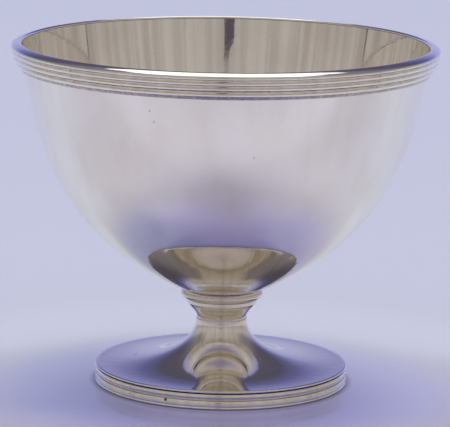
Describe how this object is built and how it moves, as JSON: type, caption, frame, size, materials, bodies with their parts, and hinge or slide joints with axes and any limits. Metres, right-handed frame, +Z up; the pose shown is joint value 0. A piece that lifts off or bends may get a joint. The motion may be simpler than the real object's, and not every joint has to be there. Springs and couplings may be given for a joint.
{
  "type": "waste bowl",
  "caption": "Footed silver waste bowl: a deep raised bowl with a reeded rim on a stepped collar, trumpet pedestal and reeded round foot, for tea leaves and slops.",
  "frame": {"origin": "centre of the ring under the foot band, on the surface that the bowl stands on", "axes": "+Z up along the axis of revolution; X and Y are arbitrary because the bowl is round"},
  "size_m": [0.16, 0.16, 0.1288],
  "materials": {
    "bowl_silver": "hand polished silver, softly worn with fine scratches and a few small pits",
    "moulding_silver": "polished silver with tarnish in the grooves between the reeds",
    "collar_silver": "polished silver with tarnish in the corners of the steps",
    "pedestal_silver": "hand polished silver with fine scratches and small pits"
  },
  "bodies": {
    "root": {"rim_moulding": "moulding_silver", "bowl_shell": "bowl_silver", "seat_ring": "collar_silver", "stepped_collar": "collar_silver", "neck_ring": "collar_silver", "pedestal": "pedestal_silver", "foot_bead": "moulding_silver", "foot_band": "moulding_silver"}
  },
  "joints": []
}
